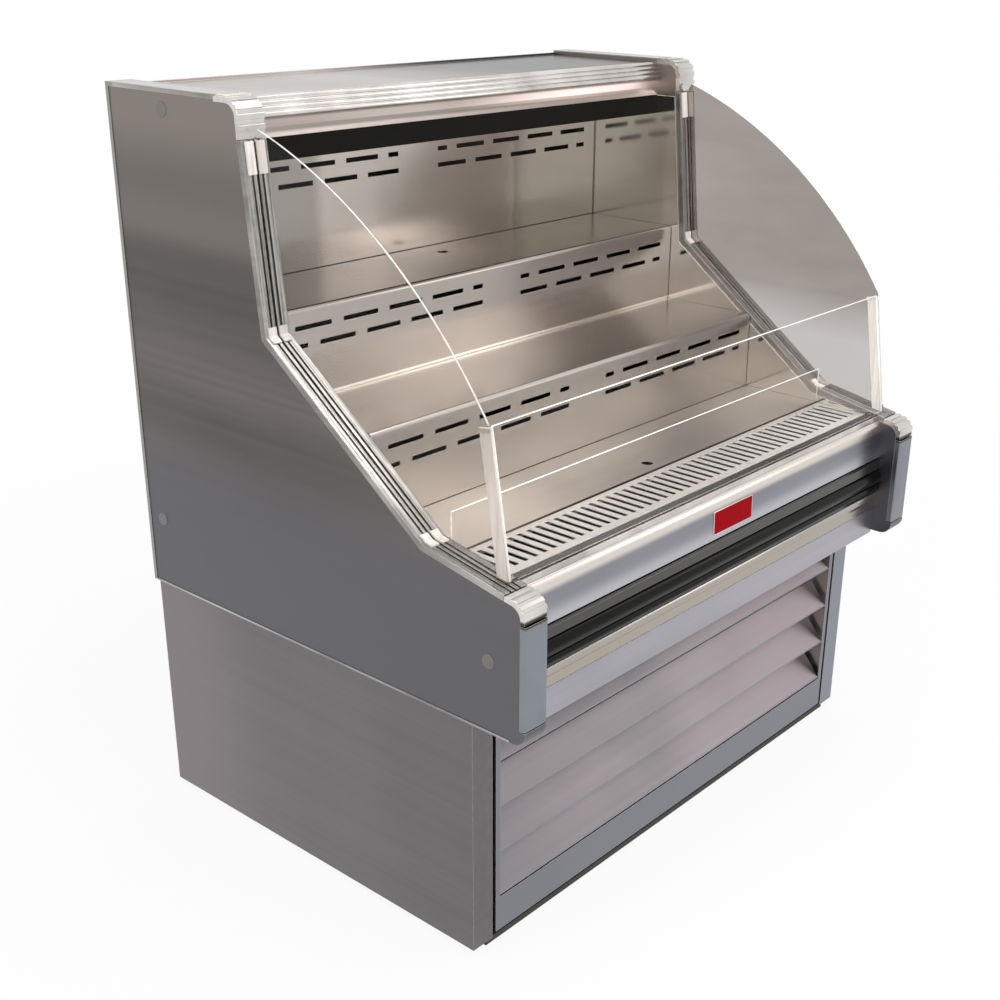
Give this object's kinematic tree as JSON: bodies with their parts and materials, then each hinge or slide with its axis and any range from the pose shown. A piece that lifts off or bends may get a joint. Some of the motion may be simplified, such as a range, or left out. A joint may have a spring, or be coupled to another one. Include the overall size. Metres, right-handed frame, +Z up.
{
  "type": "open multideck display fridge",
  "caption": "Open refrigerated merchandiser with stepped lift-out tiers, clear curved end guards, a return-air grille and a louvred base over the cooling unit.",
  "frame": {"origin": "bottom centre of the whole object, on the floor under the runners", "axes": "+Z up; -Y is the front, where the goods are reached; X runs along the display"},
  "size_m": [1.295, 1.01, 1.466],
  "materials": {
    "brushed_steel": "brushed, satin",
    "liner_steel": "fine brushed, lighter",
    "bright_trim": "bright dipped",
    "galvanised_steel": "galvanised, dull",
    "aluminium": "mill finish fins",
    "clear_acrylic": "clear, polished edges",
    "black_vinyl": "glossy black",
    "black_plastic": "matt black",
    "black_paint": "satin black paint",
    "grey_plastic": "grey plastic",
    "white_plastic": "white plastic pipe",
    "foam_core": "coated tub over foam",
    "copper": "bare copper"
  },
  "bodies": {
    "cabinet": {"air_honeycomb": "black_plastic", "back_skin": "brushed_steel", "back_wall": "liner_steel", "base_back": "galvanised_steel", "base_frame": "galvanised_steel", "base_runners": "galvanised_steel", "base_side_left": "brushed_steel", "base_side_right": "brushed_steel", "bumper_insert": "black_vinyl", "bumper_rail": "bright_trim", "canopy_front": "brushed_steel", "canopy_liner": "liner_steel", "canopy_top": "brushed_steel", "canopy_trim": "bright_trim", "compressor": "black_paint", "condensate_tray": "galvanised_steel", "condenser_coil": "aluminium", "condenser_motor": "black_paint", "condenser_shroud": "black_paint", "control_box": "grey_plastic", "drain_pipe": "white_plastic", "edge_channels": "bright_trim", "edge_trims": "bright_trim", "end_panel_left": "brushed_steel", "end_panel_right": "brushed_steel", "evaporator_coil": "aluminium", "evaporator_fan_plate": "galvanised_steel", "evaporator_motors": "black_paint", "fascia_panel": "brushed_steel", "filter_drier": "copper", "front_guard": "clear_acrylic", "guard_clips": "bright_trim", "guard_posts": "clear_acrylic", "guard_seat": "bright_trim", "insulated_tank": "foam_core", "nose_bars": "bright_trim", "nose_caps": "bright_trim", "panel_catches": "grey_plastic", "plug_caps": "grey_plastic", "power_inlet": "black_plastic", "refrigerant_lines": "copper", "side_guard_left": "clear_acrylic", "side_guard_right": "clear_acrylic", "side_liners": "liner_steel", "sill_nose": "brushed_steel", "tier_ledges": "liner_steel", "top_caps": "bright_trim", "unit_tray": "galvanised_steel"},
    "upper_tier": {"upper_tier": "liner_steel"},
    "lower_tier": {"lower_tier": "liner_steel"},
    "deck": {"deck_pan": "liner_steel", "product_stop": "clear_acrylic"},
    "return_grille": {"return_grille": "liner_steel"},
    "louver_panel": {"louver_panel": "brushed_steel"},
    "condenser_fan": {"condenser_fan": "black_plastic"},
    "cooler_fan_1": {"evaporator_fan_1": "black_plastic"},
    "cooler_fan_2": {"evaporator_fan_2": "black_plastic"},
    "thermostat_knob": {"thermostat_knob": "black_plastic"},
    "power_switch": {"power_switch": "black_plastic"}
  },
  "joints": [
    {"name": "upper_tier_lift", "type": "slide", "parent": "cabinet", "child": "upper_tier", "axis": [0, 0, 1], "range_m": [0, 0.08]},
    {"name": "lower_tier_lift", "type": "slide", "parent": "cabinet", "child": "lower_tier", "axis": [0, 0, 1], "range_m": [0, 0.08]},
    {"name": "deck_lift", "type": "slide", "parent": "cabinet", "child": "deck", "axis": [0, 0, 1], "range_m": [0, 0.06]},
    {"name": "return_grille_lift", "type": "slide", "parent": "cabinet", "child": "return_grille", "axis": [0, 0, 1], "range_m": [0, 0.06]},
    {"name": "louver_panel_pull", "type": "slide", "parent": "cabinet", "child": "louver_panel", "axis": [0, -1, 0], "range_m": [0, 0.06]},
    {"name": "condenser_fan_spin", "type": "hinge", "parent": "cabinet", "child": "condenser_fan", "pos_m": [-0.34, -0.153, 0.242], "axis": [0, 1, 0], "continuous": true},
    {"name": "cooler_fan_1_spin", "type": "hinge", "parent": "cabinet", "child": "cooler_fan_1", "pos_m": [-0.25, -0.085, 0.646], "axis": [0, 1, 0], "continuous": true},
    {"name": "cooler_fan_2_spin", "type": "hinge", "parent": "cabinet", "child": "cooler_fan_2", "pos_m": [0.25, -0.085, 0.646], "axis": [0, 1, 0], "continuous": true},
    {"name": "thermostat_turn", "type": "hinge", "parent": "cabinet", "child": "thermostat_knob", "pos_m": [0.44, -0.278, 0.337], "axis": [0, 1, 0], "range_deg": [0, 270]},
    {"name": "power_switch_rock", "type": "hinge", "parent": "cabinet", "child": "power_switch", "pos_m": [0.515, -0.262, 0.337], "axis": [1, 0, 0], "range_deg": [-16, 0]}
  ]
}
